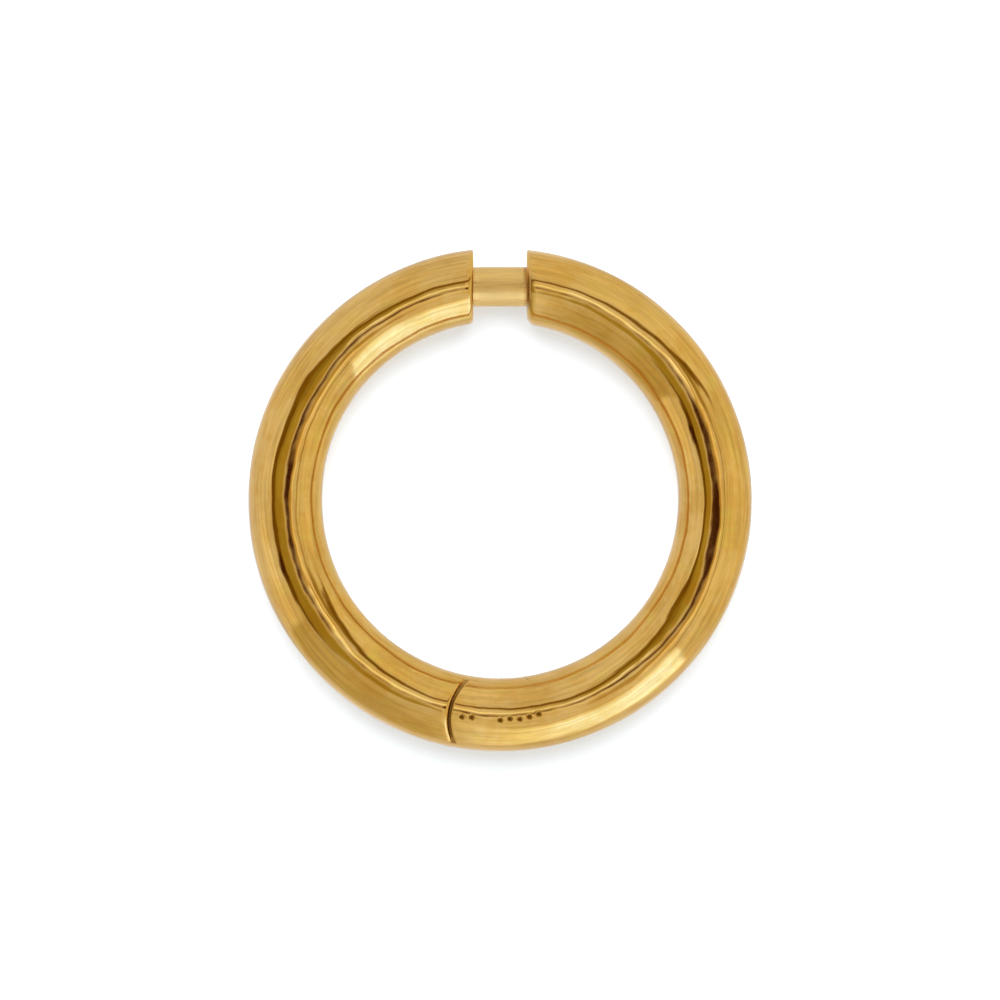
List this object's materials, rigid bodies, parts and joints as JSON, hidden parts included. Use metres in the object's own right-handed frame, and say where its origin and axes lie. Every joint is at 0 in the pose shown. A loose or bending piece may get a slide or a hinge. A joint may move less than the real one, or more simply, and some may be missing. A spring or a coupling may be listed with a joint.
{
  "type": "hinged hoop earring",
  "caption": "Round-tube hoop earring in two polished gold-coloured arcs, joined by a hidden hinge at the bottom and closed by a straight ear post across the gap at the top.",
  "frame": {"origin": "middle of the hoop, on the surface that it lies on", "axes": "+Z is the hoop's axis and points up, +Y points from the hinge to the gap with the ear post, +X points to the long arc with the socket"},
  "size_m": [0.02, 0.0199, 0.0029],
  "materials": {
    "polished_gold": "polished yellow gold plate on brass, with fine hand-polish ripples and hairline scratches",
    "satin_pale_gold": "paler gold plate, satin along the middle of the post and brighter at its two ends"
  },
  "bodies": {
    "long_half": {"long_arc": "polished_gold", "hinge_pin": "polished_gold"},
    "short_half": {"short_arc": "polished_gold", "ear_post": "satin_pale_gold"}
  },
  "joints": [
    {"name": "hinge", "type": "hinge", "parent": "long_half", "child": "short_half", "pos_m": [0.00016, -0.00873, 0.00146], "axis": [0, 0, 1], "range_deg": [0, 40]}
  ]
}
